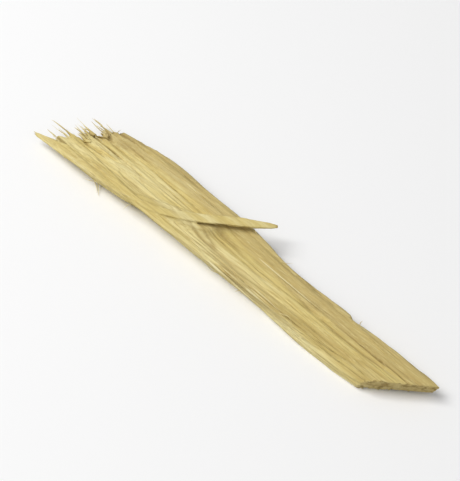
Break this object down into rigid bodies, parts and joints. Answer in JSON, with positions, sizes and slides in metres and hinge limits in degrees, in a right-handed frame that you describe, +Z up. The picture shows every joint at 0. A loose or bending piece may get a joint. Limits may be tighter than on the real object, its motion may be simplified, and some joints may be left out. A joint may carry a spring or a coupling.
{
  "type": "licorice root chip",
  "caption": "Pale fibrous chip split lengthwise from dried licorice root, with a torn end, an oblique cut end, a peeled strand and bark along one side.",
  "frame": {"origin": "middle of the bottom face of the chip's box, on the surface that the chip lies on", "axes": "+X along the grain from the torn end to the cut end, +Y from the inner wood to the bark, +Z up through the thickness"},
  "size_m": [0.0302, 0.0044, 0.0019],
  "materials": {
    "split_root": "dry, matt, fibrous split wood, straw yellow, with grey-brown wrinkled bark along one side"
  },
  "bodies": {
    "root": {"root_chip": "split_root"}
  },
  "joints": []
}
